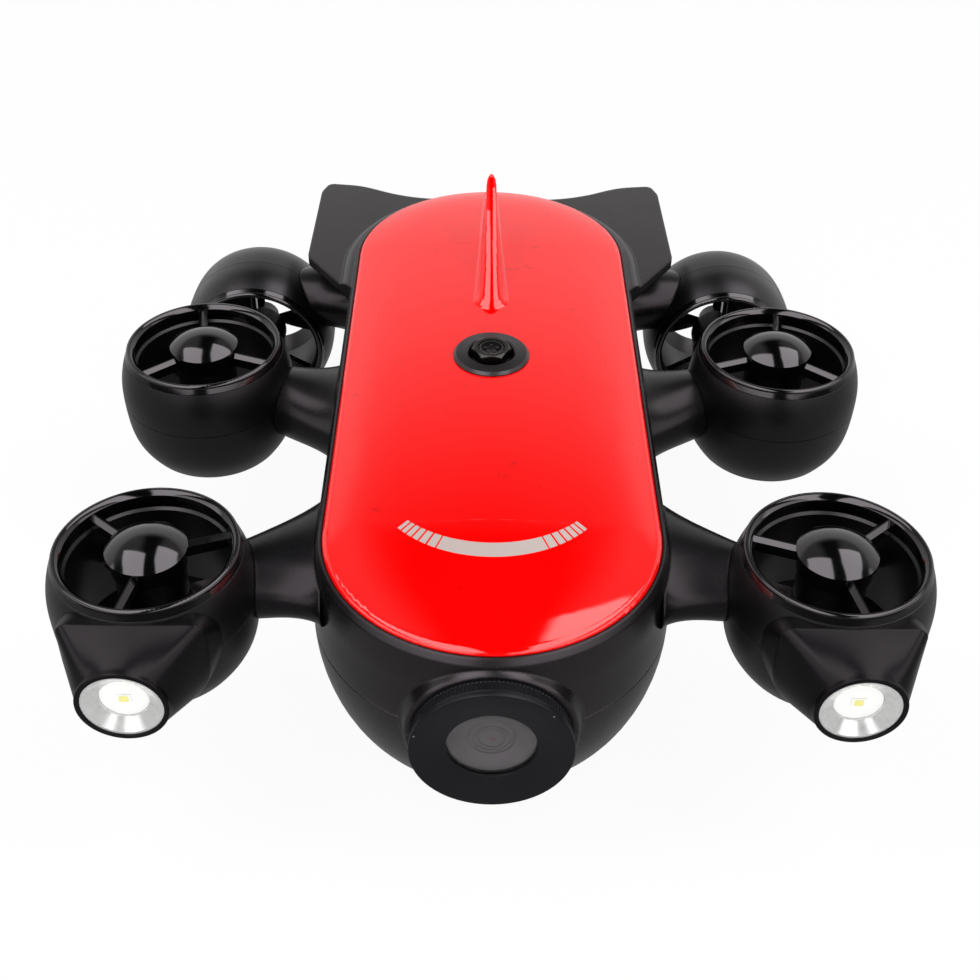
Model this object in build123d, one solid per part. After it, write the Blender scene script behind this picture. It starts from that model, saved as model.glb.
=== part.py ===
from build123d import *
import os
from math import cos, radians, sin, sqrt

# Compact six-thruster inspection ROV. Millimetres, +Z up, the camera end faces -Y.
# The origin is at the middle of the footprint, on the surface that the skids stand on.
# Heights of the hull, thrusters, arms, lamps and camera are counted from the hull's underside.

# Hull: a half profile swept round a straight spine with a half turn at each end
skid_h = 4.0
nose_spine_y = -113.9
tail_spine_y = 104.7
seam_half_w, seam_h = 73.6, 62.3
belly_half_w = seam_half_w - 37.6
bilge_half_w, bilge_h = seam_half_w - 10.2, 20.0
waist_half_w, waist_h = seam_half_w - 1.4, 45.0
shoulder_half_w, shoulder_h = seam_half_w - 0.8, 80.0
rim_half_w, rim_h = seam_half_w - 2.6, 97.0
lip_half_w, lip_h = rim_half_w - 1.8, rim_h + 3.0
hull_wall = 3.0
seam_groove = 0.6
seal_w = 2.0
seal_inset = 1.6

# Red top cover, its crown and its fin
cover_lip_w = 1.2
cover_fit = 0.3
cover_half_w = lip_half_w - cover_lip_w
cover_wall = 2.5
cover_edge_r = 3.0
crown_h = 7.0
# Fin sections: height over the crown, front and rear edge, thickness
fin_stations = (
    (-5.0, 40.0, 168.0, 21.0),
    (-0.4, 40.0, 163.0, 19.0),
    (0.6, 42.0, 158.0, 14.6),
    (2.2, 44.6, 152.5, 12.0),
    (5.0, 48.2, 144.5, 10.8),
    (9.0, 53.2, 135.5, 9.8),
    (13.0, 58.2, 129.0, 8.8),
    (17.0, 63.6, 124.3, 7.9),
    (21.0, 70.2, 121.0, 7.1),
    (25.0, 77.8, 118.4, 6.4),
    (29.0, 86.2, 116.3, 5.8),
    (32.0, 93.2, 114.8, 5.4),
    (34.3, 99.6, 113.4, 5.0),
    (35.6, 104.2, 112.4, 4.2),
    (36.3, 107.4, 110.8, 2.6))

# Tail plate, moulded with the upper hull
tail_top_h = rim_h - 3.2
tail_t = 5.0
tail_half_w = seam_half_w + 22.9
tail_waist_y = tail_spine_y + seam_half_w + 0.2
tail_tip_y = tail_waist_y + 16.5
tail_tip_half_w = tail_half_w - 4.5
tail_front_y = tail_spine_y + 8.3
tail_root_y = tail_front_y - 37.0
tail_waist_half_w = tail_half_w - 50.5
tail_corner_r, tail_ear_w = 7.0, 12.0
tail_fillet = 6.0

# Thruster barrel, in its own frame: the inlet crest at z = 0, the flow goes to -z
barrel_h = 57.4
crest_r, crest_round = 35.2, 1.6
upper_r, upper_d = 40.2, 15.0
belly_r, belly_d = 40.6, 29.0
lower_r, lower_d = 38.7, 44.0
outlet_r, outlet_round = 30.8, 1.2
guard_band = 4.0
guard_lip_r = crest_r - 0.8
guard_throat_r, guard_throat_d = guard_lip_r - 1.2, 5.5
spigot_r, spigot_d, spigot_fit = guard_throat_r + 1.8, 8.0, 0.1
shell_d = 25.8
duct_r = guard_throat_r - 1.2
duct_chamfer = 1.0
nozzle_d = 45.0
nozzle_r = 27.6
groove = 0.5

# Guard spokes and hub
spoke_count = 3
spoke_w = 4.2
spoke_top_d = 2.0
spoke_roof = 1.5
hub_r, hub_dome_h, hub_rim_d, hub_rim_t = 15.9, 5.7, 0.8, 1.0
hub_neck_r = hub_r - 1.0
hub_d = 9.0

# Motor, shaft and propeller
motor_r, motor_h = hub_neck_r - 1.0, 15.0
motor_boss_r, motor_boss_h = 5.0, 2.5
shaft_r = 1.5
shaft_gap = 0.05
shaft_end_gap = 1.0
shaft_in_motor = 12.0
prop_gap = 1.5
prop_hub_r, prop_hub_h = 8.0, 10.0
prop_cone_r, prop_cone_h = prop_hub_r - 3.0, 2.2
tip_gap = 1.0
blade_count = 3
blade_t = 2.0
blade_chords = (13.0, 24.0, 26.0)
blade_pitches = (46.0, 31.0, 22.0)
nut_flats, nut_h = 5.5, 3.0

# Where the thrusters stand on the left side; the right side is its mirror image
front_x, front_y, front_crest_h = seam_half_w + 59.9, -133.9, 109.4
mid_x, mid_y, mid_crest_h = seam_half_w + 62.9, 20.7, 100.0
rear_x, rear_crest_y, rear_axis_h = seam_half_w + 54.0, 103.2, 39.9
front_spoke_turn, mid_spoke_turn, rear_spoke_turn = 20.0, 100.0, 90.0

# Arms: an oval (y, height, half chord, half thickness) at the duct and one at the hull
arm_end_x, arm_hull_x, arm_flare_x = seam_half_w - 7.6, seam_half_w + 2.4, seam_half_w + 12.4
arm_duct_x, arm_buried_x = seam_half_w + 19.9, seam_half_w + 41.4
front_arm_duct = (front_y + 13.3, front_crest_h - 27.1, 20.2, 14.9)
front_arm_hull = (front_y + 20.9, front_crest_h - 27.1, 27.8, 14.9)
mid_arm_duct = (mid_y - 8.6, mid_crest_h - 28.9, 20.7, 16.0)
mid_arm_hull = (mid_y - 14.6, mid_crest_h - 28.9, 27.5, 16.0)
rear_arm_duct = (rear_crest_y + 25.8, rear_axis_h + 20.1, 19.5, 15.0)
rear_arm_hull = (rear_crest_y + 24.8, rear_axis_h + 20.1, 23.0, 16.0)
arm_flare = 9.0
front_arm_rise, mid_arm_rise, rear_arm_rise = 1.5, 6.0, 6.0

# Lamp on each front barrel
lamp_x, lamp_face_y, lamp_h = front_x + 2.3, front_y - 56.7, front_crest_h - 28.5
lamp_lip_l = 2.0
seat_gap = 0.02
reflector_r, reflector_d = 15.4, 5.0
lamp_lip_r = reflector_r + 2.1
reflector_lip = 0.6
lamp_fit = 0.1
led_board_r, led_board_t = reflector_r - 6.1, 1.6
lens_t, lens_gap = 1.2, 1.2
chip_w, chip_d, chip_t = 5.4, 4.0, 0.7
crease_half_w, crease_y, crease_h = 25.4, front_y - 37.6, front_crest_h - 5.0
crease_foot, crease_corner = crease_h - 47.4, 4.0
lamp_root_half_w, lamp_root_y = 32.0, front_y - 24.1
lamp_root_foot, lamp_root_corner = crease_h - 50.9, 13.0

# Camera in the nose
camera_h = seam_h - 0.35
boss_face_y = nose_spine_y - seam_half_w + 0.5
bezel_face_y = boss_face_y - 8.0
bezel_r, bezel_t, bezel_edge = 31.45, 2.8, 0.6
bezel_neck_r = 29.0
window_open_r, window_d = 17.3, 3.8
window_r, window_t, window_fit = window_open_r + 2.7, 2.2, 0.1
boss_r, boss_root_r, boss_depth, boss_edge = 33.4, 37.0, 14.0, 1.0
clamp_r, clamp_slit = 30.6, 0.5
clamp_fit = 0.1
camera_fit = 0.15
camera_depth = 34.0
eye_r, eye_d = window_r - 1.6, 8.0
eye_steps = ((17.6, 2.0), (13.5, 3.6), (9.5, 5.0), (5.5, 6.0))

# Tether connector on the crown
connector_y = 2.0
ring_r, ring_t, ring_edge, ring_hole_r = 17.5, 2.2, 1.2, 10.6
ring_tube_r, ring_fit = ring_hole_r + 1.4, 0.2
connector_r, connector_fit = 6.0, 0.1
connector_boss_r = connector_r + 3.0
connector_nut_flats, connector_nut_h = 16.0, 5.4
connector_proud = 4.7
connector_flange_r, connector_flange_t = connector_boss_r, 3.0
socket_r, socket_d = connector_r - 1.1, 2.2
pin_count, pin_r, pin_h, pin_circle_r = 5, 0.6, 1.6, 2.9

# Inside the hull, and the skids under it
battery_w, battery_l, battery_h, battery_r = 58.0, 180.0, 38.0, 8.0
tray_w, tray_l, tray_t = 84.0, 190.0, 3.0
board_w, board_l, board_t = 74.0, 150.0, 1.6
standoff_r, standoff_h, standoff_edge = 2.5, 5.0, 6.0
chips = ((-18.0, -40.0, 20.0), (14.0, -8.0, 26.0), (-12.0, 38.0, 18.0))
chip_h = 3.0
skid_x, skid_w, skid_l = 20.0, 9.0, 160.0
skid_hole_pitch, skid_hole_r = 120.0, 1.65

OUT = "parts"


def save(shape, name):
    """Write one node's solids, lifted onto the skids."""
    export_step(Pos(0, 0, skid_h) * shape, os.path.join(OUT, name + ".step"))


def half_face(edges):
    """Face on the XZ plane from edges drawn as (distance from the axis, height)."""
    return Plane.XZ * make_face(Wire(edges))


def polygon_face(points):
    """Face on the XZ plane from the corners of a half profile."""
    return Plane.XZ * make_face(Polyline(*points, close=True))


def turned(points):
    """Body of revolution about Z from (radius, height) corners."""
    return revolve(polygon_face(points), Axis.Z)


def slab(low, high):
    """Flat block between two heights, wider and longer than the hull."""
    size = 2 * (tail_tip_y - bezel_face_y)
    return Pos(0, 0, (low + high) / 2) * Box(size, size, high - low)


def forward(shape, x=0.0, height=0.0):
    """Turn a shape made about Z so that its +Z points forward, to -Y."""
    return Pos(x, 0, height) * shape.rotate(Axis.X, 90)


def on_side(shape, side):
    """The left-hand shape as it is, or its mirror image for the right side."""
    return shape if side == "left" else mirror(shape, Plane.YZ)


def stadium(face):
    """Sweep a half profile round the spine: a half turn at each end and a straight run."""
    tail = revolve(face, Axis.Z, 180)
    nose = tail.rotate(Axis.Z, 180)
    run = extrude(face + mirror(face, Plane.YZ), tail_spine_y - nose_spine_y, dir=(0, 1, 0))
    return Pos(0, nose_spine_y, 0) * (nose + run) + Pos(0, tail_spine_y, 0) * tail


# Hull shells
def hull_solid(inset, low, high):
    """Hull form moved inwards by inset, between two heights."""
    side = Spline(
        (belly_half_w - inset, inset),
        (bilge_half_w - inset, bilge_h + inset / 2),
        (waist_half_w - inset, waist_h),
        (seam_half_w - inset, seam_h),
        (shoulder_half_w - inset, shoulder_h),
        (rim_half_w - inset, rim_h),
        tangents=[(1.0, 0.22), (-0.15, 1.0)])
    rim, lip = (rim_half_w - inset, rim_h), (lip_half_w - inset, lip_h)
    outline = [Line((0, inset), (belly_half_w - inset, inset)), side, Line(rim, lip),
               Line(lip, (0, lip_h)), Line((0, lip_h), (0, inset))]
    return stadium(half_face(outline)) & slab(low, high)


def camera_boss():
    """Collar on the nose that the camera capsule passes through."""
    root_y = boss_face_y + boss_depth
    return forward(turned([(0, -boss_face_y), (boss_r - boss_edge, -boss_face_y),
                           (boss_r, -boss_face_y - boss_edge), (boss_root_r, -root_y),
                           (boss_root_r, -root_y - boss_depth), (0, -root_y - boss_depth)]),
                   height=camera_h)


def camera_bore():
    """Bore through the nose for the camera capsule."""
    length = camera_depth + boss_depth
    bore = Cylinder(bezel_neck_r + camera_fit, length, align=(Align.CENTER, Align.CENTER, Align.MAX))
    return forward(Pos(0, 0, -boss_face_y + 1) * bore, height=camera_h)


def seal_cord():
    """Square cord in the joint between the two shells."""
    outer = seam_half_w - seal_inset
    inner = outer - seal_w
    low, high = seam_h - seal_w / 2, seam_h + seal_w / 2
    cord = stadium(polygon_face([(inner, low), (outer, low), (outer, high), (inner, high)]))
    return cord - camera_bore()


def seam_shadow():
    """Shallow V groove round the outside of the joint between the shells."""
    r = seam_half_w
    return stadium(polygon_face([(r + 1, seam_h - seam_groove), (r - seam_groove, seam_h),
                                 (r + 1, seam_h + seam_groove)]))


def tail_outline():
    """Plan of the tail plate: swept sides, rounded corners and a hollow rear edge."""
    corners = [(0, tail_root_y), (rim_half_w, tail_root_y), (tail_half_w, tail_front_y),
               (tail_half_w - 1.0, tail_tip_y - 10.0), (tail_tip_half_w, tail_tip_y),
               (tail_tip_half_w - tail_ear_w, tail_tip_y - 1.5)]
    sides = FilletPolyline(*corners, radius=(0.5, tail_corner_r, tail_corner_r * 1.6, 4.0))
    rear = Spline(corners[-1], (tail_waist_half_w + tail_ear_w, tail_waist_y + 6.3),
                  (tail_waist_half_w - 6, tail_waist_y + 0.4), (0, tail_waist_y),
                  tangents=[(-12.0, -1.5), (-1, 0)])
    half = make_face([*sides.edges(), rear, Line((0, tail_waist_y), (0, tail_root_y))])
    return half + mirror(half, Plane.YZ)


def tail_plate():
    """Tail plate with its fillet up to the hull's rim."""
    plan = tail_outline()
    plate = Pos(0, 0, tail_top_h - tail_t) * extrude(plan, tail_t)
    blend_r = rim_half_w + tail_fillet
    blend = stadium(half_face([
        Line((rim_half_w - 2, tail_top_h - 1), (blend_r, tail_top_h - 1)),
        Line((blend_r, tail_top_h - 1), (blend_r, tail_top_h)),
        RadiusArc((blend_r, tail_top_h), (rim_half_w - 0.4, rim_h + 0.6), -tail_fillet * 1.1),
        Line((rim_half_w - 0.4, rim_h + 0.6), (rim_half_w - 2, rim_h + 0.6)),
        Line((rim_half_w - 2, rim_h + 0.6), (rim_half_w - 2, tail_top_h - 1))]))
    reach = Pos(0, 0, tail_top_h - 2) * extrude(plan, rim_h - tail_top_h + 4)
    return plate + (blend & reach)


def upper_hull():
    """Upper shell with its deck, the cover's recess, the tail plate and half the camera collar."""
    outer = hull_solid(0, seam_h, lip_h) + tail_plate()
    outer += camera_boss() & slab(seam_h, lip_h)
    cavity = hull_solid(hull_wall, seam_h - 1, rim_h - hull_wall)
    recess_r = cover_half_w + cover_fit
    recess = stadium(polygon_face([(0, rim_h), (recess_r, rim_h), (recess_r, lip_h + 1), (0, lip_h + 1)]))
    post_top = lip_h + crown_h + connector_proud - connector_nut_h
    post = Pos(0, connector_y, rim_h - 1) * Cylinder(
        connector_boss_r, post_top - rim_h + 1, align=(Align.CENTER, Align.CENTER, Align.MIN))
    bore = Pos(0, connector_y, rim_h) * Cylinder(connector_r + connector_fit, 4 * hull_wall + 2 * crown_h)
    return outer - cavity - recess + post - bore - camera_bore() - seal_cord() - seam_shadow()


def lower_hull():
    """Lower tub with the other half of the camera collar."""
    outer = hull_solid(0, 0, seam_h) + (camera_boss() & slab(0, seam_h))
    cavity = hull_solid(hull_wall, hull_wall, seam_h + 1)
    tub = outer - cavity - camera_bore() - seal_cord() - seam_shadow()
    boss = Cylinder(3 * skid_hole_r, 2 * hull_wall, align=(Align.CENTER, Align.CENTER, Align.MIN))
    for x, y in skid_holes():
        tub += Pos(x, y, 0) * boss
    return tub


# Top cover
def crown_profile(inset, low):
    """Half profile of the cover, moved inwards by inset."""
    r = cover_half_w - inset
    top = lip_h + crown_h - inset
    shoulder = (r - cover_edge_r * 0.9, lip_h + cover_edge_r * 0.7 - inset)
    edge = (r - cover_edge_r / 4, lip_h + cover_edge_r * 0.4 - inset)
    return half_face([
        Line((0, low), (r, low)), Line((r, low), (r, lip_h - inset)),
        ThreePointArc((r, lip_h - inset), edge, shoulder),
        Spline(shoulder, (r * 0.55, top - crown_h * 0.16), (0, top), tangents=[(-1, 0.3), (-1, 0)]),
        Line((0, top), (0, low))])


def fin_section(front_y, rear_y, width, height):
    """Level section of the fin: a round nose, flat flanks and a thin tail."""
    nose, tail = width / 2, width / 5
    outline = [
        ThreePointArc((-nose, front_y + nose), (0, front_y), (nose, front_y + nose)),
        Line((nose, front_y + nose), (tail, rear_y - tail)),
        ThreePointArc((tail, rear_y - tail), (0, rear_y), (-tail, rear_y - tail)),
        Line((-tail, rear_y - tail), (-nose, front_y + nose))]
    return Pos(0, 0, height) * make_face(Wire(outline))


def fin():
    """Fin built up through level sections, with a flared foot."""
    crown = lip_h + crown_h
    return loft([fin_section(front, rear, width, crown + rise) for rise, front, rear, width in fin_stations],
                ruled=True)


def top_cover():
    """Red crowned cover with the fin moulded on."""
    outer = stadium(crown_profile(0, rim_h)) + fin()
    outer &= slab(rim_h, rim_h + 10 * crown_h)
    hollow = stadium(crown_profile(cover_wall, rim_h - 1))
    hole = Pos(0, connector_y, lip_h) * Cylinder(ring_tube_r + ring_fit, 4 * crown_h)
    return outer - hollow - hole


# Thruster, in its own frame
def barrel(gap=0.0):
    """Outer form of a thruster barrel, solid and grown by gap."""
    start = (crest_r + 1.0 + gap, -crest_round)
    end = (outlet_r + outlet_round + gap, -barrel_h + outlet_round)
    middle = [(r + gap, -d) for r, d in ((upper_r, upper_d), (belly_r, belly_d), (lower_r, lower_d))]
    curve = Spline(start, *middle, end,
                   tangents=[(0.42, -1.0), (-0.75, -1.0)])
    outline = [Line((0, 0), (crest_r, 0)), ThreePointArc((crest_r, 0), (crest_r + 0.75, -0.45), start),
               curve, Line(end, (outlet_r, -barrel_h)), Line((outlet_r, -barrel_h), (0, -barrel_h)),
               Line((0, -barrel_h), (0, 0))]
    return revolve(half_face(outline), Axis.Z)


def barrel_radius(depth):
    """Outer radius of the barrel at a depth below the crest, read from its solid."""
    cut = barrel() & (Pos(0, 0, -depth) * Box(4 * belly_r, 4 * belly_r, 0.01))
    return cut.bounding_box().max.X


def shadow_groove(depth):
    """V groove round the outside of a joint in the barrel."""
    r = barrel_radius(depth)
    return turned([(r + 1, -depth - groove), (r - groove, -depth), (r + 1, -depth + groove)])


def guard_spoke(turn):
    """One spoke with a roof-shaped top, from the hub to the ring."""
    w, top, foot = spoke_w / 2, -spoke_top_d, -spigot_d
    section = Plane.YZ * make_face(Polyline((-w, foot), (w, foot), (w, top - spoke_roof), (0.3, top),
                                            (-0.3, top), (-w, top - spoke_roof), close=True))
    start, end = hub_neck_r - 1.0, guard_throat_r + 0.8
    return (Pos(start, 0, 0) * extrude(section, end - start, dir=(1, 0, 0))).rotate(Axis.Z, turn)


def guard_hub():
    """Hub with its shallow dome, a thin rim and the neck that holds the motor."""
    rim_top, rim_foot = -hub_rim_d, -hub_rim_d - hub_rim_t
    sphere = (hub_r ** 2 + hub_dome_h ** 2) / (2 * hub_dome_h)
    half = hub_r / 2
    rise = sqrt(sphere ** 2 - half ** 2) - (sphere - hub_dome_h)
    outline = [ThreePointArc((0, rim_top + hub_dome_h), (half, rim_top + rise), (hub_r, rim_top)),
               Line((hub_r, rim_top), (hub_r, rim_foot)), Line((hub_r, rim_foot), (hub_neck_r, rim_foot)),
               Line((hub_neck_r, rim_foot), (hub_neck_r, -hub_d)), Line((hub_neck_r, -hub_d), (0, -hub_d)),
               Line((0, -hub_d), (0, rim_top + hub_dome_h))]
    return revolve(half_face(outline), Axis.Z)


def guard_ring(first_spoke):
    """Glossy inlet ring with its spokes and domed hub."""
    hollow = turned([(0, 1), (guard_lip_r, 1), (guard_lip_r, 0), (guard_throat_r, -guard_throat_d),
                     (guard_throat_r, -spigot_d - 1), (0, -spigot_d - 1)])
    band = barrel() & slab(-guard_band, 0)
    spigot = turned([(0, -guard_band), (spigot_r, -guard_band), (spigot_r, -spigot_d), (0, -spigot_d)])
    ring = band + spigot - hollow - shadow_groove(guard_band) + guard_hub()
    for k in range(spoke_count):
        ring += guard_spoke(first_spoke + k * 360 / spoke_count)
    return ring


def duct_shell():
    """Upper barrel shell with the counterbore that takes the guard ring."""
    bore = turned([(0, 0), (spigot_r + spigot_fit, 0), (spigot_r + spigot_fit, -spigot_d),
                   (duct_r + duct_chamfer, -spigot_d), (duct_r, -spigot_d - duct_chamfer),
                   (duct_r, -shell_d - 1), (0, -shell_d - 1)])
    shell = (barrel() & slab(-shell_d, -guard_band)) - bore
    return shell - shadow_groove(guard_band) - shadow_groove(shell_d)


def duct_nozzle():
    """Lower barrel shell that narrows to the outlet."""
    bore = turned([(0, 0), (duct_r, 0), (duct_r, -nozzle_d), (nozzle_r, -barrel_h + 2),
                   (nozzle_r + 0.8, -barrel_h), (nozzle_r + 0.8, -barrel_h - 1), (0, -barrel_h - 1)])
    return (barrel() & slab(-barrel_h, -shell_d)) - bore - shadow_groove(shell_d)


def motor():
    """Motor can with its bearing boss and the bore that the shaft runs in."""
    foot = hub_d + motor_h
    boss = foot + motor_boss_h
    top = boss - motor_boss_h - shaft_in_motor - shaft_end_gap
    run_r = shaft_r + shaft_gap
    return turned([(0, -hub_d), (motor_r, -hub_d), (motor_r, -foot + 1), (motor_r - 1, -foot),
                   (motor_boss_r, -foot), (motor_boss_r, -boss), (run_r, -boss), (run_r, -top), (0, -top)])


def prop_top():
    """Depth of the propeller hub's top face."""
    return hub_d + motor_h + motor_boss_h + prop_gap


def rotor_shaft():
    """Shaft with the nut that holds the propeller."""
    top = hub_d + motor_h - shaft_in_motor
    seat = prop_top() + prop_hub_h + prop_cone_h
    shaft = Pos(0, 0, -seat - nut_h) * Cylinder(
        shaft_r, seat + nut_h - top, align=(Align.CENTER, Align.CENTER, Align.MIN))
    nut = Pos(0, 0, -seat - nut_h) * extrude(RegularPolygon(nut_flats / 2, 6, major_radius=False), nut_h)
    return shaft + nut


def blade_section(radius, chord, pitch):
    """Cambered blade section square to the radius, with sharp edges."""
    plane = Plane(origin=(radius, 0, 0), x_dir=(0, cos(radians(pitch)), sin(radians(pitch))), z_dir=(1, 0, 0))
    c, h = chord / 2, blade_t / 2
    back = Spline((-c, 0), (-c * 0.4, h * 1.2), (c * 0.3, h * 1.3), (c, 0))
    front = Spline((c, 0), (c * 0.3, -h * 0.5), (-c * 0.4, -h * 0.5), (-c, 0))
    return plane * make_face(Wire([back, front]))


def propeller():
    """Three-bladed propeller with a coned hub and a bore for the shaft."""
    top = prop_top()
    foot = top + prop_hub_h
    hub = turned([(shaft_r, -top), (prop_hub_r - 1, -top), (prop_hub_r, -top - 1), (prop_hub_r, -foot),
                  (prop_cone_r, -foot - prop_cone_h), (shaft_r, -foot - prop_cone_h)])
    tip = duct_r - tip_gap
    stations = (prop_hub_r - 2.0, (prop_hub_r + tip) / 2, tip + 1.0)
    sections = [blade_section(r, c, p) for r, c, p in zip(stations, blade_chords, blade_pitches)]
    blade = Pos(0, 0, -top - prop_hub_h / 2) * loft(sections)
    sweep = turned([(shaft_r + 1, -top + 5), (tip, -top + 5), (tip, -foot - 5), (shaft_r + 1, -foot - 5)])
    wheel = hub
    for k in range(blade_count):
        wheel += blade.rotate(Axis.Z, k * 360 / blade_count) & sweep
    return wheel


# Thruster places on the left side
def at_front(shape):
    """Stand a thruster piece at the front left barrel."""
    return Pos(-front_x, front_y, front_crest_h) * shape


def at_mid(shape):
    """Stand a thruster piece at the middle left barrel."""
    return Pos(-mid_x, mid_y, mid_crest_h) * shape


def at_rear(shape):
    """Lay a thruster piece down at the rear left barrel, its inlet to the front."""
    return Pos(0, rear_crest_y, 0) * forward(shape, -rear_x, rear_axis_h)


PLACES = {
    "front": (at_front, front_spoke_turn),
    "mid": (at_mid, mid_spoke_turn),
    "rear": (at_rear, rear_spoke_turn),
}


# Arms
def arm_oval(x, duct, hull, rise):
    """Arm section at a distance x from the centre line, wider where the root flares."""
    t = (arm_duct_x - min(x, arm_duct_x)) / (arm_duct_x - arm_hull_x)
    y, h, chord, thick = [a + (b - a) * t for a, b in zip(duct, hull)]
    reach = arm_flare_x - arm_end_x
    into = max(0.0, arm_flare_x - x) / reach
    swell = 1 - sqrt(max(0.0, 1 - into ** 2))
    plane = Plane(origin=(-x, y, h), x_dir=(0, 1, 0), z_dir=(1, 0, 0))
    return plane * Ellipse(chord + arm_flare * swell, thick + rise * swell)


def arm(duct, hull, rise, place):
    """Arm cut to seat on the hull's side and on the barrel."""
    reach = arm_flare_x - arm_end_x
    roots = [arm_flare_x - reach * k for k in (0, 0.35, 0.6, 0.8, 0.95)]
    stations = [arm_buried_x, arm_duct_x, *roots]
    body = loft([arm_oval(x, duct, hull, rise) for x in stations])
    return body - place(barrel(seat_gap)) - hull_solid(0, 0, lip_h)


# Lamps
def arch_face(x, y, half_w, top, foot, corner):
    """Housing section facing forward: a flat top with rounded corners over a half-round belly."""
    r = half_w - 0.02
    low = foot + half_w
    c = min(corner, r)
    k = sqrt(0.5)
    points = [(-half_w, low), (-half_w, top - c), (-half_w + c, top), (half_w - c, top),
              (half_w, top - c), (half_w, low), (0.02, foot), (-0.02, foot)]
    plane = Plane(origin=(x, y, 0), x_dir=(1, 0, 0), z_dir=(0, -1, 0))
    outline = [
        Line(points[0], points[1]),
        ThreePointArc(points[1], (-half_w + c - c * k, top - c + c * k), points[2]),
        Line(points[2], points[3]),
        ThreePointArc(points[3], (half_w - c + c * k, top - c + c * k), points[4]),
        Line(points[4], points[5]),
        ThreePointArc(points[5], (0.02 + r * k, low - half_w * k), points[6]),
        Line(points[6], points[7]),
        ThreePointArc(points[7], (-0.02 - r * k, low - half_w * k), points[0])]
    return plane * make_face(Wire(outline))


def lamp_housing():
    """Lamp housing tapering from the barrel's front to the round lamp face."""
    lip = lamp_lip_r
    root = arch_face(-front_x, lamp_root_y, lamp_root_half_w, crease_h, lamp_root_foot, lamp_root_corner)
    crease = arch_face(-front_x, crease_y, crease_half_w, crease_h, crease_foot, crease_corner)
    face = arch_face(-lamp_x, lamp_face_y + lamp_lip_l, lip, lamp_h + lip, lamp_h - lip, lip - 0.02)
    body = loft([root, crease], ruled=True) + loft([crease, face], ruled=True)
    body += in_lamp(Cylinder(lip, lamp_lip_l, align=(Align.CENTER, Align.CENTER, Align.MAX)))
    pocket = in_lamp(Pos(0, 0, 1) * Cylinder(
        reflector_r + lamp_fit, reflector_d + led_board_t + 1, align=(Align.CENTER, Align.CENTER, Align.MAX)))
    return body - pocket - at_front(barrel(seat_gap))


def in_lamp(shape):
    """Place a lamp piece made about Z with the lamp's face at z = 0."""
    return forward(Pos(0, 0, -lamp_face_y) * shape, -lamp_x, lamp_h)


def lamp_reflector():
    """Conical ring round the lamp."""
    foot = -reflector_d - led_board_t
    well_r = led_board_r + lamp_fit
    return in_lamp(turned([(reflector_r, -reflector_lip), (reflector_r, foot), (well_r, foot),
                           (well_r, -reflector_d + 1), (reflector_r - 1.0, -reflector_lip)]))


def lamp_board():
    """Round board with the light chip on it."""
    foot = -reflector_d - led_board_t
    board = Pos(0, 0, foot) * Cylinder(
        led_board_r, led_board_t, align=(Align.CENTER, Align.CENTER, Align.MIN))
    chip = Pos(0, 0, foot + led_board_t + chip_t / 2) * Box(chip_w, chip_d, chip_t)
    return in_lamp(board + chip)


def lamp_lens():
    """Clear disc over the board."""
    low = -reflector_d + lens_gap
    return in_lamp(Pos(0, 0, low) * Cylinder(
        led_board_r, lens_t, align=(Align.CENTER, Align.CENTER, Align.MIN)))


# Camera
def camera_bezel():
    """Front flange with the neck that the window sits in."""
    face, flange = -bezel_face_y, -bezel_face_y - bezel_t
    seat, foot = face - window_d, -boss_face_y
    pocket_r = window_r + window_fit
    return forward(turned([
        (window_open_r + 0.6, face), (bezel_r - bezel_edge, face), (bezel_r, face - bezel_edge),
        (bezel_r, flange + bezel_edge), (bezel_r - bezel_edge, flange), (bezel_neck_r, flange),
        (bezel_neck_r, foot), (pocket_r, foot), (pocket_r, seat), (window_open_r, seat)]), height=camera_h)


def camera_window():
    """Flat port in front of the camera."""
    front = -bezel_face_y - window_d
    return forward(Pos(0, 0, front) * Cylinder(
        window_r, window_t, align=(Align.CENTER, Align.CENTER, Align.MAX)), height=camera_h)


def camera_clamp_ring():
    """Ribbed ring between the bezel's flange and the hull's collar."""
    high, low = -bezel_face_y - bezel_t - clamp_slit, -boss_face_y
    inner = bezel_neck_r + clamp_fit
    return forward(turned([(inner, high), (clamp_r - 0.4, high), (clamp_r, high - 0.4),
                           (clamp_r, low), (inner, low)]), height=camera_h)


def camera_module():
    """Sealed capsule with the stepped barrel of the lens at its front."""
    neck = -bezel_face_y - window_d - window_t
    face = -boss_face_y
    corners = [(0, neck - eye_d), (eye_steps[-1][0], neck - eye_d)]
    for r, d in reversed(eye_steps):
        corners += [(r, neck - d)]
        wider = [s[0] for s in eye_steps if s[0] > r]
        corners += [(min(wider) if wider else eye_r, neck - d)]
    corners += [(eye_r, neck), (window_r, neck), (window_r, face), (bezel_neck_r, face),
                (bezel_neck_r, face - camera_depth), (0, face - camera_depth)]
    return forward(turned(corners), height=camera_h)


# Tether connector
def on_crown(shape, height=0.0):
    """Place a connector piece over its hole, heights counted from the crown."""
    return Pos(0, connector_y, lip_h + crown_h + height) * shape


def connector_bezel():
    """Flared ring on the cover with the tube that stands on the deck."""
    foot = -(lip_h + crown_h - rim_h)
    return on_crown(turned([(ring_hole_r, foot), (ring_tube_r, foot), (ring_tube_r, 0), (ring_r, 0),
                            (ring_r, 0.5), (ring_r - ring_edge, ring_t * 0.8), (ring_hole_r + 0.8, ring_t),
                            (ring_hole_r, ring_t - 0.8)]))


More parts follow.
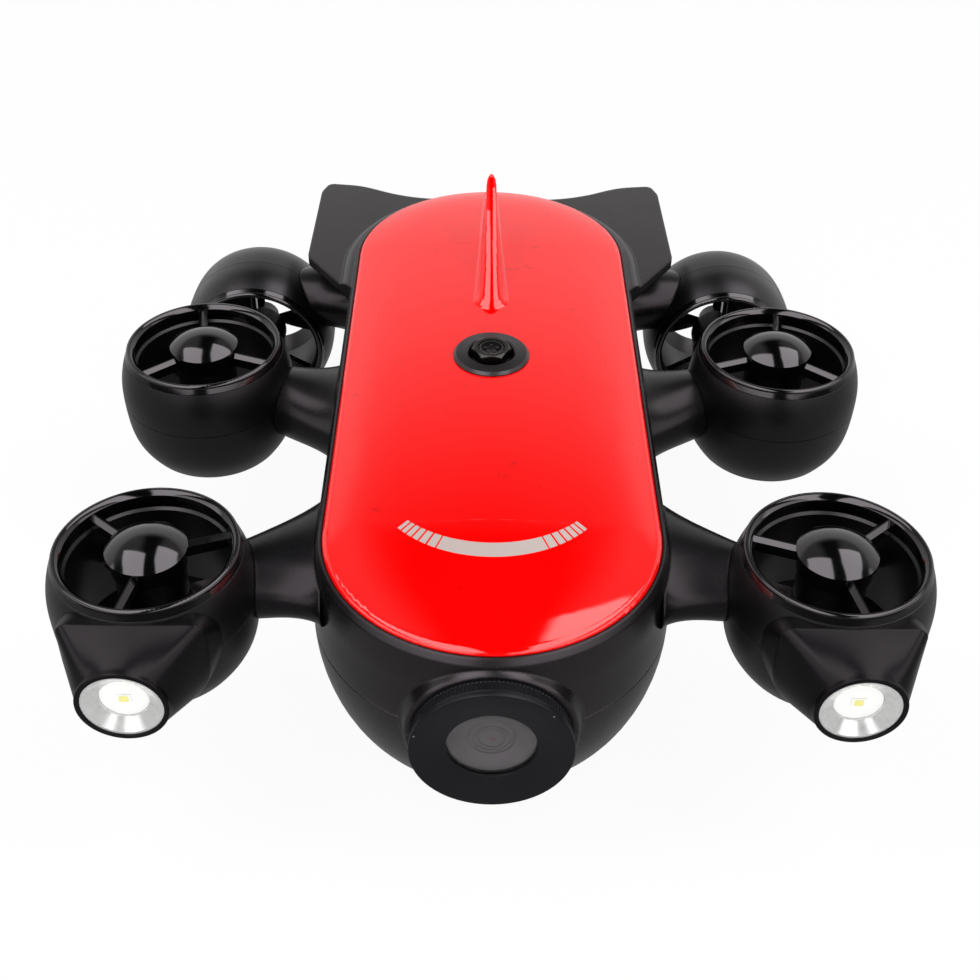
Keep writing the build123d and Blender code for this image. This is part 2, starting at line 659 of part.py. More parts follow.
def connector_nut():
    """Hexagon nut with chamfered corners."""
    hexagon = extrude(RegularPolygon(connector_nut_flats / 2, 6, major_radius=False), connector_nut_h)
    corner = connector_nut_flats / sqrt(3)
    cone = turned([(0, 0), (corner, 0), (corner, connector_nut_h - 1.1),
                   (corner - 1.6, connector_nut_h), (0, connector_nut_h)])
    hole = Cylinder(connector_r + connector_fit, 4 * connector_nut_h)
    return on_crown((hexagon & cone) - hole, connector_proud - connector_nut_h)


def connector_body():
    """Bulkhead receptacle with its contact pins and the flange under the deck."""
    top, deck = connector_proud - 0.3, -(lip_h + crown_h - rim_h) - hull_wall
    foot = deck - connector_flange_t
    body = turned([(0, foot), (connector_flange_r, foot), (connector_flange_r, deck), (connector_r, deck),
                   (connector_r, top - 0.5), (connector_r - 0.5, top), (socket_r, top),
                   (socket_r, top - socket_d), (0, top - socket_d)])
    for k in range(pin_count):
        a = radians(90 + k * 360 / pin_count)
        body += Pos(pin_circle_r * cos(a), pin_circle_r * sin(a), top - socket_d) * Cylinder(
            pin_r, pin_h, align=(Align.CENTER, Align.CENTER, Align.MIN))
    return on_crown(body)


# Inside the hull
def battery_pack():
    """Battery block on the hull's floor."""
    return Pos(0, 0, hull_wall * 2) * extrude(RectangleRounded(battery_w, battery_l, battery_r), battery_h)


def electronics_tray():
    """Tray on the battery with the control board on its standoffs."""
    low = hull_wall * 2 + battery_h
    tray = Pos(0, 0, low) * extrude(RectangleRounded(tray_w, tray_l, battery_r), tray_t)
    pieces = [tray]
    dx, dy = board_w / 2 - standoff_edge, board_l / 2 - standoff_edge
    for x in (-dx, dx):
        for y in (-dy, dy):
            post = Cylinder(standoff_r, standoff_h, align=(Align.CENTER, Align.CENTER, Align.MIN))
            pieces.append(Pos(x, y, low + tray_t) * post)
    board_low = low + tray_t + standoff_h
    pieces.append(Pos(0, 0, board_low + board_t / 2) * Box(board_w, board_l, board_t))
    for x, y, size in chips:
        pieces.append(Pos(x, y, board_low + board_t + chip_h / 2) * Box(size, size, chip_h))
    pieces = [solid for piece in pieces for solid in piece.solids()]
    return Compound(pieces)


# Skids
def skid_holes():
    """Centres of the four threaded holes in the skids."""
    half = skid_hole_pitch / 2
    return [(x, y) for x in (-skid_x, skid_x) for y in (-half, half)]


def belly_skids():
    """Two skids under the hull, with threaded holes for what is carried there."""
    bars = []
    for x in (-skid_x, skid_x):
        bar = Pos(x, 0, -skid_h) * extrude(RectangleRounded(skid_w, skid_l, skid_w / 2 - 0.1), skid_h)
        for y in (-skid_hole_pitch / 2, skid_hole_pitch / 2):
            bar -= Pos(x, y, -skid_h / 2) * Cylinder(skid_hole_r, 2 * skid_h)
        bars += bar.solids()
    return Compound(bars)


def both_sides(shape):
    """A piece and its mirror image as two solids of one node."""
    return Compound([*shape.solids(), *mirror(shape, Plane.YZ).solids()])


def build():
    """Write every node."""
    os.makedirs(OUT, exist_ok=True)
    save(upper_hull(), "upper_hull")
    save(lower_hull(), "lower_hull")
    save(seal_cord(), "hull_seal")
    save(top_cover(), "top_cover")
    save(connector_bezel(), "connector_bezel")
    save(connector_nut(), "connector_nut")
    save(connector_body(), "connector_body")
    save(camera_bezel(), "camera_bezel")
    save(camera_window(), "camera_window")
    save(camera_clamp_ring(), "camera_clamp_ring")
    save(camera_module(), "camera_module")
    save(both_sides(lamp_housing()), "lamp_housings")
    save(both_sides(lamp_reflector()), "lamp_reflectors")
    save(both_sides(lamp_board()), "lamp_boards")
    save(both_sides(lamp_lens()), "lamp_lenses")
    save(battery_pack(), "battery_pack")
    save(electronics_tray(), "electronics_tray")
    save(belly_skids(), "belly_skids")

    arms = {
        "front": arm(front_arm_duct, front_arm_hull, front_arm_rise, at_front),
        "mid": arm(mid_arm_duct, mid_arm_hull, mid_arm_rise, at_mid),
        "rear": arm(rear_arm_duct, rear_arm_hull, rear_arm_rise, at_rear),
    }
    common = {
        "duct_shell": duct_shell(),
        "duct_nozzle": duct_nozzle(),
        "motor": motor(),
        "rotor_shaft": rotor_shaft(),
        "propeller": propeller(),
    }
    for place, (stand, turn) in PLACES.items():
        ring = guard_ring(turn)
        for side in ("left", "right"):
            tag = f"{place}_{side}"
            save(on_side(arms[place], side), f"arm_{tag}")
            save(on_side(stand(ring), side), f"guard_ring_{tag}")
            for name, shape in common.items():
                save(on_side(stand(shape), side), f"{name}_{tag}")


build()
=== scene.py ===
import math

import bmesh
import bpy
from mathutils import Matrix, Vector
from mathutils.bvhtree import BVHTree


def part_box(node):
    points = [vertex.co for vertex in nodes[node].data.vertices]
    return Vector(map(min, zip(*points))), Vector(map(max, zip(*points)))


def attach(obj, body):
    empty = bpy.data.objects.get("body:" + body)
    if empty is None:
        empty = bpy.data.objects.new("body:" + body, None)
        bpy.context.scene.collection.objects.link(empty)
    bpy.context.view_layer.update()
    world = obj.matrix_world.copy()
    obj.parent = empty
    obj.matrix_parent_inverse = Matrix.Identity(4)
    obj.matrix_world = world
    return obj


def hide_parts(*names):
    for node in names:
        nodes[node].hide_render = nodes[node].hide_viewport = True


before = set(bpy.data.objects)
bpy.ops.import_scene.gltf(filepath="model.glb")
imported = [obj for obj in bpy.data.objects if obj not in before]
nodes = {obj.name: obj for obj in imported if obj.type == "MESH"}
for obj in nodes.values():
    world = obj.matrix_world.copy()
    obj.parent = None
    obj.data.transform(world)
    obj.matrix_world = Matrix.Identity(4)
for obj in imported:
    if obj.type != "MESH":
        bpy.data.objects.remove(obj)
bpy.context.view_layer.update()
MM = 0.001


# Shader nodes
def feed(tree, socket, value):
    """Set a socket to a number, or link it to another node's output."""
    if isinstance(value, float):
        socket.default_value = value
    else:
        tree.links.new(value, socket)


def place(tree):
    return tree.nodes.new("ShaderNodeTexCoord").outputs["Object"]


def noise(tree, scale, detail=3.0, rough=0.5):
    node = tree.nodes.new("ShaderNodeTexNoise")
    node.inputs["Scale"].default_value = scale
    node.inputs["Detail"].default_value = detail
    node.inputs["Roughness"].default_value = rough
    tree.links.new(place(tree), node.inputs["Vector"])
    return node.outputs["Fac"]


def ramp(tree, fac, *stops):
    """Colours or numbers at places along a texture, each stop as (place, value)."""
    node = tree.nodes.new("ShaderNodeValToRGB")
    while len(node.color_ramp.elements) < len(stops):
        node.color_ramp.elements.new(0.5)
    for element, (at, value) in zip(node.color_ramp.elements, stops):
        element.position = at
        element.color = (*value, 1.0) if isinstance(value, tuple) else (value, value, value, 1.0)
    tree.links.new(fac, node.inputs["Fac"])
    return node.outputs["Color"]


def vary(tree, bsdf, key, fac, *stops):
    """Drive one of the shader's inputs with a texture."""
    tree.links.new(ramp(tree, fac, *stops), bsdf.inputs[key])


def bump(tree, bsdf, height, strength, distance):
    node = tree.nodes.new("ShaderNodeBump")
    node.inputs["Strength"].default_value = strength
    node.inputs["Distance"].default_value = distance
    tree.links.new(height, node.inputs["Height"])
    tree.links.new(node.outputs["Normal"], bsdf.inputs["Normal"])
    return node


def calc(tree, operation, a, b=None):
    """Math on an output, and on a second output or number where the operation takes one."""
    node = tree.nodes.new("ShaderNodeMath")
    node.operation = operation
    tree.links.new(a, node.inputs[0])
    if b is not None:
        feed(tree, node.inputs[1], b)
    return node.outputs[0]


def fold(tree, operation, *outputs):
    """One value from several outputs, taken in one after the other."""
    got = outputs[0]
    for other in outputs[1:]:
        got = calc(tree, operation, got, other)
    return got


def span(tree, value, low, high, at_low, at_high, kind="SMOOTHSTEP"):
    """Step from one value to another over a span."""
    node = tree.nodes.new("ShaderNodeMapRange")
    node.interpolation_type = kind
    for key, number in (("From Min", low), ("From Max", high), ("To Min", at_low), ("To Max", at_high)):
        node.inputs[key].default_value = number
    tree.links.new(value, node.inputs["Value"])
    return node.outputs[0]


def split(tree, vector):
    """X, Y and Z of a vector."""
    node = tree.nodes.new("ShaderNodeSeparateXYZ")
    tree.links.new(vector, node.inputs[0])
    return tuple(node.outputs)


def mix_shaders(tree, share, first, second):
    """The first shader where the share is 0, and the second where it is 1."""
    node = tree.nodes.new("ShaderNodeMixShader")
    for socket, output in zip(node.inputs, (share, first, second)):
        tree.links.new(output, socket)
    return node.outputs[0]


# Materials
# Tints of the reflections, and a texture's scale as about its number of features in a metre
PURPLE, PINK, LILAC, WHITE = (1.0, 0.87, 0.94), (1.0, 0.93, 0.98), (1.0, 0.93, 1.0), (1.0, 1.0, 1.0)
DRIFT_SCALE, PATCH_SCALE, GRAIN_SCALE, GRAIN_DEPTH = 18.0, 55.8, 1400.0, 0.02 * MM
EDGE_SAMPLES, COAT_ROUGH = 6, 0.05
STREAK_SCALE, STREAK_DEPTH, WEAR_SCALE = 400.0, 0.01 * MM, 60.0
SMEAR_SCALE, GLASS_IOR = 90.0, 1.5
GLASS_ROUGH = (0.02, 0.07)
# Red cover: handling marks, clouds of colour, patches of gloss and slow waves of the moulding
MARK_SCALE, CLOUD_SCALE, GLOSS_SCALE, WAVE_SCALE, WAVE_DEPTH = 95.0, 14.0, 40.0, 9.0, 0.25 * MM
RED_DARK, RED_LIGHT, RED_MARK = (0.94, 0.0006, 0.0006), (0.98, 0.0010, 0.0010), (0.74, 0.0004, 0.0008)
RED_ROUGH = (0.035, 0.075)


def new_material(name):
    mat = bpy.data.materials.new(name)
    mat.use_nodes = True
    tree = mat.node_tree
    return mat, tree, tree.nodes["Principled BSDF"]


def plastic(name, dark, light, rough, grain=GRAIN_SCALE, grain_depth=GRAIN_DEPTH, coat=0.0, specular=0.5,
            tint=PURPLE, edge_r=0.0):
    """Moulded plastic: slow colour drift, patchy roughness, a fine surface grain and softened edges."""
    mat, tree, bsdf = new_material(name)
    slow = noise(tree, DRIFT_SCALE, detail=4.0, rough=0.55)
    vary(tree, bsdf, "Base Color", slow, (0.3, dark), (0.7, light))
    patchy = noise(tree, PATCH_SCALE, detail=5.0, rough=0.6)
    vary(tree, bsdf, "Roughness", patchy, (0.25, rough[0]), (0.75, rough[1]))
    fine = noise(tree, grain, detail=2.0, rough=0.6)
    grained = bump(tree, bsdf, fine, strength=0.5, distance=grain_depth)
    if edge_r:
        edges = tree.nodes.new("ShaderNodeBevel")
        edges.samples = EDGE_SAMPLES
        edges.inputs["Radius"].default_value = edge_r
        tree.links.new(edges.outputs[0], grained.inputs["Normal"])
    bsdf.inputs["Specular Tint"].default_value = (*tint, 1.0)
    bsdf.inputs["Coat Weight"].default_value = coat
    bsdf.inputs["Coat Roughness"].default_value = COAT_ROUGH
    bsdf.inputs["Specular IOR Level"].default_value = specular
    return mat


def metal(name, low, high, rough, metallic=1.0):
    """Turned or brushed metal with fine streaks."""
    mat, tree, bsdf = new_material(name)
    bsdf.inputs["Metallic"].default_value = metallic
    streaks = noise(tree, STREAK_SCALE, rough=0.7)
    vary(tree, bsdf, "Base Color", streaks, (0.3, low), (0.7, high))
    vary(tree, bsdf, "Roughness", noise(tree, WEAR_SCALE), (0.3, rough[0]), (0.7, rough[1]))
    bump(tree, bsdf, streaks, strength=0.3, distance=STREAK_DEPTH)
    return mat


def clear(name, alpha=1.0):
    """Flat port glass with faint smears."""
    mat, tree, bsdf = new_material(name)
    bsdf.inputs["Base Color"].default_value = (*WHITE, 1.0)
    bsdf.inputs["Transmission Weight"].default_value = 1.0
    bsdf.inputs["IOR"].default_value = GLASS_IOR
    bsdf.inputs["Alpha"].default_value = alpha
    smears = noise(tree, SMEAR_SCALE, detail=4.0)
    vary(tree, bsdf, "Roughness", smears, (0.4, GLASS_ROUGH[0]), (0.8, GLASS_ROUGH[1]))
    return mat


def red_shell(name):
    """High gloss red moulding with faint handling marks and dried water spots."""
    mat, tree, bsdf = new_material(name)
    handled = noise(tree, MARK_SCALE, detail=4.0, rough=0.62)
    marks = ramp(tree, handled, (0.0, 0.0), (0.66, 0.0), (0.74, 1.0))
    cloud = ramp(tree, noise(tree, CLOUD_SCALE), (0.35, RED_DARK), (0.7, RED_LIGHT))
    mix = tree.nodes.new("ShaderNodeMix")
    mix.data_type = "RGBA"
    tree.links.new(marks, mix.inputs["Factor"])
    tree.links.new(cloud, mix.inputs["A"])
    mix.inputs["B"].default_value = (*RED_MARK, 1.0)
    tree.links.new(mix.outputs["Result"], bsdf.inputs["Base Color"])
    glossy = noise(tree, GLOSS_SCALE, detail=5.0, rough=0.6)
    vary(tree, bsdf, "Roughness", glossy, (0.3, RED_ROUGH[0]), (0.75, RED_ROUGH[1]))
    waves = noise(tree, WAVE_SCALE, detail=2.0, rough=0.4)
    bump(tree, bsdf, waves, strength=0.25, distance=WAVE_DEPTH)
    bsdf.inputs["Specular IOR Level"].default_value = 0.5
    return mat


# Plastics and metals as name, darkest and lightest colour, and least and most roughness
MATERIALS = {
    "hull": plastic("hull_black", (0.0040, 0.0037, 0.0041), (0.0060, 0.0055, 0.0060), (0.24, 0.31),
                    specular=0.38, edge_r=1.5 * MM),
    "arm": plastic("arm_black", (0.0030, 0.0029, 0.0033), (0.0044, 0.0042, 0.0046), (0.24, 0.30),
                   specular=0.18, edge_r=1.5 * MM),
    "duct": plastic("duct_black", (0.0022, 0.0022, 0.0025), (0.0034, 0.0033, 0.0037), (0.30, 0.38),
                    specular=0.34, tint=PINK),
    "housing": plastic("lamp_housing_black", (0.0028, 0.0028, 0.0031), (0.0042, 0.0041, 0.0045),
                       (0.26, 0.33), specular=0.12, edge_r=0.8 * MM),
    "gloss": plastic("ring_gloss_black", (0.0018, 0.0018, 0.0020), (0.0028, 0.0028, 0.0030), (0.06, 0.12),
                     grain=300.0, grain_depth=0.006 * MM, tint=PINK),
    "bezel": plastic("bezel_black", (0.0050, 0.0050, 0.0062), (0.0072, 0.0072, 0.0086), (0.36, 0.44),
                     specular=0.16, tint=LILAC),
    "ring": plastic("connector_ring_black", (0.0060, 0.0052, 0.0056), (0.0085, 0.0075, 0.0080),
                    (0.26, 0.34), specular=0.45),
    "red": red_shell("cover_red"),
    "rubber": plastic("seal_rubber", (0.008, 0.008, 0.008), (0.013, 0.013, 0.013), (0.6, 0.75)),
    "prop": plastic("propeller_black", (0.0030, 0.0030, 0.0032), (0.0048, 0.0048, 0.0050), (0.22, 0.30),
                    specular=0.4),
    "inner": plastic("camera_grey", (0.094, 0.083, 0.090), (0.108, 0.096, 0.104), (0.45, 0.6),
                     specular=0.3),
    "socket": plastic("socket_black", (0.0060, 0.0060, 0.0060), (0.0100, 0.0100, 0.0100), (0.35, 0.5)),
    "white": plastic("lamp_board_white", (0.92, 0.92, 0.90), (0.97, 0.97, 0.95), (0.35, 0.5), tint=WHITE),
    "phosphor": plastic("lamp_phosphor", (0.86, 0.80, 0.22), (0.92, 0.86, 0.30), (0.35, 0.5), tint=WHITE),
    "board": plastic("board_green", (0.02, 0.12, 0.05), (0.03, 0.16, 0.07), (0.4, 0.5)),
    "ink": plastic("scale_print", (0.53, 0.44, 0.41), (0.58, 0.49, 0.46), (0.25, 0.35),
                   grain=900.0, grain_depth=0.008 * MM),
    "coated": plastic("lens_coating", (0.16, 0.075, 0.09), (0.20, 0.10, 0.115), (0.05, 0.10),
                      grain=500.0, grain_depth=0.002 * MM, coat=0.6),
    "nut": metal("blackened_steel", (0.026, 0.025, 0.024), (0.042, 0.040, 0.038), (0.34, 0.46)),
    "steel": metal("dark_steel", (0.10, 0.10, 0.11), (0.15, 0.15, 0.16), (0.28, 0.40)),
    "shaft": metal("ground_steel", (0.62, 0.62, 0.62), (0.72, 0.72, 0.72), (0.18, 0.28)),
    "mirror": metal("reflector_aluminium", (0.60, 0.60, 0.60), (0.70, 0.70, 0.69), (0.14, 0.22),
                    metallic=0.45),
    "anodised": metal("battery_case", (0.30, 0.31, 0.33), (0.36, 0.37, 0.39), (0.35, 0.45)),
    "pin": metal("pin_head", (0.30, 0.30, 0.31), (0.40, 0.40, 0.41), (0.20, 0.32)),
    "glass": clear("port_glass"),
    "lamp_glass": clear("lamp_glass", alpha=0.06),
}

# Material of each CAD node, by how its name starts
LOOKS = {
    "upper_hull": "hull", "lower_hull": "hull", "hull_seal": "rubber", "top_cover": "red",
    "connector_bezel": "ring", "connector_nut": "nut", "connector_body": "socket",
    "camera_clamp_ring": "bezel", "camera_bezel": "bezel", "camera_window": "glass",
    "camera_module": "bezel", "lamp_housings": "housing", "lamp_reflectors": "mirror",
    "lamp_boards": "white", "lamp_lenses": "lamp_glass", "battery_pack": "anodised",
    "electronics_tray": "board", "belly_skids": "rubber", "arm_": "arm", "guard_ring_": "gloss",
    "duct_": "duct", "motor_": "steel", "rotor_shaft_": "shaft", "propeller_": "prop",
}


def smooth(obj, angle=30.0):
    """Smooth shading with edges sharper than the angle kept hard."""
    mesh = obj.data
    for poly in mesh.polygons:
        poly.use_smooth = True
    mesh.set_sharp_from_angle(angle=math.radians(angle))


def dress_nodes():
    for name, node in nodes.items():
        look = next(look for start, look in LOOKS.items() if name.startswith(start))
        node.data.materials.clear()
        node.data.materials.append(MATERIALS[look])
        smooth(node)


# Pieces made here
# Angle in degrees from which their edges stay hard
HARD = 35.0
# Where the middle point of a rounded corner lies, as a share of its width
EASE = 0.3


def closed_mesh(name, verts, faces):
    """Mesh from points and faces, turned outwards."""
    mesh = bpy.data.meshes.new(name)
    mesh.from_pydata(verts, [], faces)
    shape = bmesh.new()
    shape.from_mesh(mesh)
    bmesh.ops.recalc_face_normals(shape, faces=shape.faces)
    shape.to_mesh(mesh)
    shape.free()
    return mesh


def add_object(name, data):
    obj = bpy.data.objects.new(name, data)
    bpy.context.scene.collection.objects.link(obj)
    return obj


def add_piece(name, verts, faces, look, body, hard=HARD):
    """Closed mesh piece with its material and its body."""
    obj = add_object(name, closed_mesh(name, verts, faces))
    obj.data.materials.append(MATERIALS[look])
    smooth(obj, hard)
    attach(obj, body)
    return obj


def grid_faces(rows, columns, wrap=False, start=0):
    """Quads over a grid of points stored row by row."""
    faces = []
    for i in range(rows - 1):
        for j in range(columns if wrap else columns - 1):
            k = (j + 1) % columns
            a, b = start + i * columns, start + (i + 1) * columns
            faces.append((a + j, a + k, b + k, b + j))
    return faces


def hoop_faces(rows, columns):
    """Faces of rings whose last one meets the first."""
    last = (rows - 1) * columns
    faces = grid_faces(rows, columns, wrap=True)
    return faces + [(last + j, last + (j + 1) % columns, (j + 1) % columns, j) for j in range(columns)]


def plug_faces(rows, columns, start=0):
    """Faces of rings that are closed at both ends."""
    last = start + (rows - 1) * columns
    faces = grid_faces(rows, columns, wrap=True, start=start)
    return faces + [tuple(range(start, start + columns)), tuple(range(last, last + columns))]


def slab_faces(rows, columns, start):
    """Faces of one grid above another, joined round their edges."""
    low = start + rows * columns
    faces = grid_faces(rows, columns, start=start) + grid_faces(rows, columns, start=low)
    edge = list(range(columns))
    edge += [i * columns + columns - 1 for i in range(1, rows)]
    edge += [(rows - 1) * columns + j for j in range(columns - 2, -1, -1)]
    edge += [i * columns for i in range(rows - 2, 0, -1)]
    for v, w in zip(edge, edge[1:] + edge[:1]):
        faces.append((start + v, start + w, low + w, low + v))
    return faces


def whole_turn(steps):
    return [2 * math.pi * j / steps for j in range(steps)]


def around(at, r, a, d=0.0, axis="y"):
    """Point at an angle on a circle about an axis, and a distance along that axis."""
    u, v = r * math.cos(a), r * math.sin(a)
    return (at[0] + u, at[1] + d, at[2] + v) if axis == "y" else (at[0] + u, at[1] + v, at[2] + d)


def lathe(name, profile, at, look, axis="y", steps=48, hard=HARD, hollow=False):
    """Turned piece from (radius, distance along the axis), closed at the axis or, if hollow, on itself."""
    verts = [around(at, r, a, d, axis) for r, d in profile for a in whole_turn(steps)]
    faces = hoop_faces(len(profile), steps) if hollow else plug_faces(len(profile), steps)
    return add_piece(name, verts, faces, look, "vehicle", hard)


def eased(r, d, edge, side=1):
    """Rounded corner of a profile, from its wall to its face; side is -1 at the edge of an opening."""
    return [(r, d + edge), (r - side * EASE * edge, d + EASE * edge), (r - side * edge, d)]


def in_metres(pairs):
    return [(a * MM, b * MM) for a, b in pairs]


def centre(node):
    low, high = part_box(node)
    return [(a + b) / 2 for a, b in zip(low, high)]


def front_of(node):
    """Middle of a node's front."""
    x, _, z = centre(node)
    return x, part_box(node)[0][1], z


# Scale printed on the cover: an arc with ticks that get closer towards its ends
PRINT_OUTER_Y, PRINT_OUTER_R, PRINT_OUTER_TURN = -86.6 * MM, 49.0 * MM, 49.9
PRINT_INNER_Y, PRINT_INNER_R, PRINT_INNER_TURN = -80.2 * MM, 47.6 * MM, 45.1
PRINT_BAND = 0.53
PRINT_TICKS = ((0.545, 0.63), (0.65, 0.72), (0.74, 0.80), (0.82, 0.875), (0.895, 0.94), (0.96, 1.0))
PRINT_PROUD, PRINT_SUNK = 0.06 * MM, 0.15 * MM
# Points across it and in half its length, and the height that they drop on the cover from
PRINT_ROWS, PRINT_COLUMNS, PRINT_DROP_Z = 5, 60, 300.0 * MM


def print_point(along, across):
    """Point of the print in plan: along runs from -1 to 1, across from the outer to the inner edge."""
    outer, inner = math.radians(PRINT_OUTER_TURN * along), math.radians(PRINT_INNER_TURN * along)
    x0, y0 = PRINT_OUTER_R * math.sin(outer), PRINT_OUTER_Y - PRINT_OUTER_R * math.cos(outer)
    x1, y1 = PRINT_INNER_R * math.sin(inner), PRINT_INNER_Y - PRINT_INNER_R * math.cos(inner)
    return x0 + (x1 - x0) * across, y0 + (y1 - y0) * across


def add_print():
    cover = BVHTree.FromObject(nodes["top_cover"], bpy.context.evaluated_depsgraph_get())
    spans = [(-PRINT_BAND, PRINT_BAND)]
    for a, b in PRINT_TICKS:
        spans += [(a, b), (-b, -a)]
    verts, faces = [], []
    for a, b in spans:
        columns = max(2, round((b - a) * PRINT_COLUMNS))
        faces += slab_faces(PRINT_ROWS, columns, len(verts))
        for lift in (PRINT_PROUD, -PRINT_SUNK):
            for i in range(PRINT_ROWS):
                for j in range(columns):
                    x, y = print_point(a + (b - a) * j / (columns - 1), i / (PRINT_ROWS - 1))
                    hit = cover.ray_cast(Vector((x, y, PRINT_DROP_Z)), Vector((0, 0, -1)))[0]
                    verts.append((x, y, hit.z + lift))
    add_piece("cover_scale", verts, faces, "ink", "vehicle")


# Glossy bevel inside the mouth of each guard ring
LIP_OUTER_R, LIP_INNER_R, LIP_DEEP, LIP_RISE = 34.9 * MM, 32.7 * MM, 4.6 * MM, 0.05 * MM
LIP_BEVEL_D, LIP_BULGE, LIP_STEPS = 2.0 * MM, 0.16 * MM, 4
GUARD_BAND = 4.0 * MM


def add_guard_lip(tag):
    x, y, z = centre(f"guard_ring_{tag}")
    shell_low, shell_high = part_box(f"duct_shell_{tag}")
    if tag.startswith("rear"):
        axis, at, into = "y", (x, shell_low[1] - GUARD_BAND, z), 1.0
    else:
        axis, at, into = "z", (x, y, shell_high[2] + GUARD_BAND), -1.0
    profile = []
    for k in range(LIP_STEPS + 1):
        t = k / LIP_STEPS
        out = LIP_BULGE * math.sin(math.pi * t)
        r = LIP_OUTER_R + (LIP_INNER_R - LIP_OUTER_R) * t
        profile.append((r - out, LIP_BEVEL_D * t - out - LIP_RISE))
    profile += [(LIP_INNER_R, LIP_DEEP), (LIP_OUTER_R, LIP_DEEP)]
    profile = [(r, into * d) for r, d in profile]
    lathe(f"guard_lip_{tag}", profile, at, "gloss", axis=axis, steps=96, hard=30.0, hollow=True)


# Ribbed ring behind the camera's bezel; a rib and the groove beside it take four points of the rim
RIBS, RIB_POINTS, RIB_DEPTH, RIB_LAND, RIB_START = 120, 4, 0.35 * MM, 0.4 * MM, 0.6 * MM
CLAMP_WALL = 1.5 * MM


def add_ribbed_ring():
    x, front, z = front_of("camera_clamp_ring")
    low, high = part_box("camera_clamp_ring")
    r, back = (high[0] - low[0]) / 2, high[1]
    inner = r - CLAMP_WALL
    rows = [(inner, front, False), (r - RIB_LAND, front, False), (r, front + RIB_LAND, False),
            (r, front + RIB_START, True), (r, back - RIB_LAND, True), (r, back, False),
            (inner, back, False)]
    columns = RIB_POINTS * RIBS
    verts = []
    for radius, y, ribbed in rows:
        for j, a in enumerate(whole_turn(columns)):
            groove = RIB_DEPTH if ribbed and j % RIB_POINTS > 1 else 0.0
            verts.append(around((x, y, z), radius - groove, a))
    faces = hoop_faces(len(rows), columns)
    ring = add_piece("camera_clamp_ring_ribbed", verts, faces, "bezel", "vehicle", hard=25.0)
    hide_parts("camera_clamp_ring")


# Camera's bezel with a face that sinks as a shallow dish from its edge to the window
BEZEL_EDGE, BEZEL_FLANGE_T, BEZEL_NECK_R, BEZEL_OPEN_R = 0.6 * MM, 2.8 * MM, 29.0 * MM, 17.3 * MM
DISH_D, DISH_EDGE, DISH_LAND, WINDOW_FIT = 2.6 * MM, 0.4 * MM, 0.9 * MM, 0.1 * MM


def add_bezel():
    low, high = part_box("camera_bezel")
    pane_low, pane_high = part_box("camera_window")
    r, foot = (high[0] - low[0]) / 2, high[1] - low[1]
    seat, pocket_r = pane_low[1] - low[1], (pane_high[0] - pane_low[0]) / 2 + WINDOW_FIT
    profile = [(r - DISH_LAND, 0.0), *reversed(eased(r, 0.0, BEZEL_EDGE)),
               (r, BEZEL_FLANGE_T - BEZEL_EDGE), (r - BEZEL_EDGE, BEZEL_FLANGE_T),
               (BEZEL_NECK_R, BEZEL_FLANGE_T), (BEZEL_NECK_R, foot), (pocket_r, foot), (pocket_r, seat),
               (BEZEL_OPEN_R, seat), *eased(BEZEL_OPEN_R, DISH_D, DISH_EDGE, side=-1)]
    bezel = lathe("camera_bezel_dished", profile, front_of("camera_bezel"), "bezel", steps=144,
                  hard=25.0, hollow=True)
    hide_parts("camera_bezel")


# Funnel behind the port and lens barrel in it: radius and distance in mm behind the bezel's face
FUNNEL = ((17.2, 6.85), (17.0, 6.6), (12.6, 7.5), (12.4, 7.7), (9.2, 8.35), (9.2, 9.5), (17.2, 9.5))
BARREL = ((5.2, 13.95), (5.2, 12.1), (9.1, 12.1), (9.1, 8.7), (8.8, 8.4), (7.4, 8.4), (7.2, 8.7), (6.4, 8.7),
          (6.2, 8.3), (5.4, 8.3), (5.2, 8.6), (4.0, 8.6))
# Lens: radius, rise, how far its foot is sunk in the barrel, and rings of points with the turn between them
LENS_R, LENS_RISE, LENS_SUNK, LENS_RINGS, LENS_TURN = 5.0 * MM, 0.9 * MM, 0.05 * MM, 14, 6.0
# Pupil on the lens and pin head on the bezel: radius and distance in mm from the surface that each sits on
PUPIL = ((1.17, 0.0), (1.125, -0.06), (0.9, -0.15), (0.45, -0.2))
PIN = ((0.45, 0.3), (0.45, -0.012), (0.315, -0.03), (0.09, -0.03))
PUPIL_SUNK, PIN_TURNS, PIN_CIRCLE_R = 0.02 * MM, (163.0, 42.0), 30.3 * MM


def add_lens():
    x, face, z = front_of("camera_bezel")
    lathe("camera_barrel", in_metres(BARREL), (x, face, z), "inner", steps=72)
    lathe("camera_funnel", in_metres(FUNNEL), (x, face, z), "inner", steps=96, hollow=True)
    front = face + BARREL[-1][1] * MM
    turns = [math.radians(LENS_TURN * k) for k in range(1, LENS_RINGS + 1)]
    dome = [(LENS_R, LENS_SUNK)] + [(LENS_R * math.cos(t), -LENS_RISE * math.sin(t)) for t in turns]
    lathe("camera_lens", dome, (x, front, z), "inner", steps=72, hard=60.0)
    crown = (x, front - LENS_RISE + PUPIL_SUNK, z)
    lathe("camera_pupil", in_metres(PUPIL), crown, "coated", hard=60.0)
    for name, turn in zip(("left", "right"), PIN_TURNS):
        at = around((x, face, z), PIN_CIRCLE_R, math.radians(turn))
        lathe(f"bezel_pin_{name}", in_metres(PIN), at, "pin", steps=20)


# Phosphor on each lamp's light chip: its size, its corners and the points round one of them
PHOSPHOR_W, PHOSPHOR_H, PHOSPHOR_CORNER, PHOSPHOR_STEPS = 3.6 * MM, 2.9 * MM, 0.5 * MM, 6
# Its layers: inset and distance in mm behind the board's face
PHOSPHOR_LAYERS = ((0.0, 0.05), (0.0, -0.15), (0.2, -0.25))


